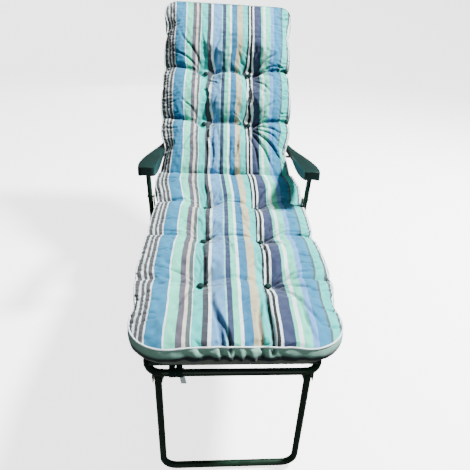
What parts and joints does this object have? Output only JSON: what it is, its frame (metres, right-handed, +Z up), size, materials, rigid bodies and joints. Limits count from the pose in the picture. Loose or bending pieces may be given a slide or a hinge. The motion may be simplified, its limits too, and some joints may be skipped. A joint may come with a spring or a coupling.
{
  "type": "reclining sun lounger",
  "caption": "Folding tubular steel sun lounger with a reclining back, hinged legrest, moulded armrests and a striped, buttoned full-length cushion.",
  "frame": {"origin": "on the floor, under the middle of the bounding box", "axes": "+X across the lounger, +Y from the foot end to the head, +Z up"},
  "size_m": [0.6638, 1.542, 1.1087],
  "materials": {
    "painted_steel": "satin dark green paint",
    "zinc": "bright zinc plate",
    "arm_plastic": "satin dark green moulding",
    "glide_plastic": "matt black moulding",
    "striped_cotton": "printed cotton, striped in blues, greens, greys and white",
    "button_cloth": "dark green cloth cover",
    "sling_cloth": "dark green woven synthetic"
  },
  "bodies": {
    "seat": {"seat_rail_left": "painted_steel", "seat_rail_right": "painted_steel", "seat_front_crossbar": "painted_steel", "seat_rear_crossbar": "painted_steel", "seat_sling": "sling_cloth", "seat_cushion": "striped_cotton", "seat_button_1_left": "button_cloth", "seat_button_1_right": "button_cloth", "seat_button_2_left": "button_cloth", "seat_button_2_right": "button_cloth", "arm_post_left": "painted_steel", "arm_post_right": "painted_steel", "arm_post_strap_left": "painted_steel", "arm_post_strap_right": "painted_steel", "arm_post_bolt_left": "zinc", "arm_post_bolt_right": "zinc", "arm_post_rivet_left": "zinc", "arm_post_rivet_right": "zinc", "hinge_plate_left": "painted_steel", "hinge_plate_right": "painted_steel", "leg_plate_left": "painted_steel", "leg_plate_right": "painted_steel", "back_hinge_pin_left": "zinc", "back_hinge_pin_right": "zinc", "rear_leg_pin_left": "zinc", "rear_leg_pin_right": "zinc", "front_leg_pin_left": "zinc", "front_leg_pin_right": "zinc", "legrest_hinge_pin_left": "zinc", "legrest_hinge_pin_right": "zinc"},
    "back": {"back_frame": "painted_steel", "back_crossbar": "painted_steel", "back_sling": "sling_cloth", "back_cushion": "striped_cotton", "back_button_1_left": "button_cloth", "back_button_1_right": "button_cloth", "back_button_2_left": "button_cloth", "back_button_2_right": "button_cloth", "recline_stud_left": "zinc", "recline_stud_right": "zinc"},
    "armrest_left": {"armrest_left": "arm_plastic", "armrest_pin_left": "zinc"},
    "armrest_right": {"armrest_right": "arm_plastic", "armrest_pin_right": "zinc"},
    "legrest": {"legrest_frame": "painted_steel", "legrest_sling": "sling_cloth", "legrest_cushion": "striped_cotton", "legrest_button_left": "button_cloth", "legrest_button_right": "button_cloth", "foot_leg_bracket_left": "painted_steel", "foot_leg_bracket_right": "painted_steel", "foot_leg_pin_left": "zinc", "foot_leg_pin_right": "zinc"},
    "foot_leg": {"foot_leg": "painted_steel"},
    "front_leg": {"front_leg": "painted_steel", "front_glide_left": "glide_plastic", "front_glide_right": "glide_plastic"},
    "rear_leg": {"rear_leg": "painted_steel", "rear_glide_left": "glide_plastic", "rear_glide_right": "glide_plastic"}
  },
  "joints": [
    {"name": "back_recline", "type": "hinge", "parent": "seat", "child": "back", "pos_m": [0, 0.201, 0.384], "axis": [1, 0, 0], "range_deg": [-40, 20]},
    {"name": "armrest_left_swing", "type": "hinge", "parent": "seat", "child": "armrest_left", "pos_m": [-0.2935, -0.044, 0.603], "axis": [1, 0, 0], "range_deg": [-12.5, 6.3]},
    {"name": "armrest_right_swing", "type": "hinge", "parent": "seat", "child": "armrest_right", "pos_m": [0.2935, -0.044, 0.603], "axis": [1, 0, 0], "range_deg": [-12.5, 6.3]},
    {"name": "legrest_lift", "type": "hinge", "parent": "seat", "child": "legrest", "pos_m": [0, -0.289, 0.384], "axis": [-1, 0, 0], "range_deg": [0, 45]},
    {"name": "foot_leg_fold", "type": "hinge", "parent": "legrest", "child": "foot_leg", "pos_m": [0, -0.746, 0.357], "axis": [1, 0, 0], "range_deg": [0, 88]},
    {"name": "front_leg_fold", "type": "hinge", "parent": "seat", "child": "front_leg", "pos_m": [0, -0.029, 0.362], "axis": [1, 0, 0], "range_deg": [0, 80]},
    {"name": "rear_leg_fold", "type": "hinge", "parent": "seat", "child": "rear_leg", "pos_m": [0, 0.171, 0.362], "axis": [-1, 0, 0], "range_deg": [0, 125]}
  ],
  "couplings": [
    {"joint": "armrest_left_swing", "follows": "back_recline", "ratio": 0.31},
    {"joint": "armrest_right_swing", "follows": "back_recline", "ratio": 0.31}
  ]
}
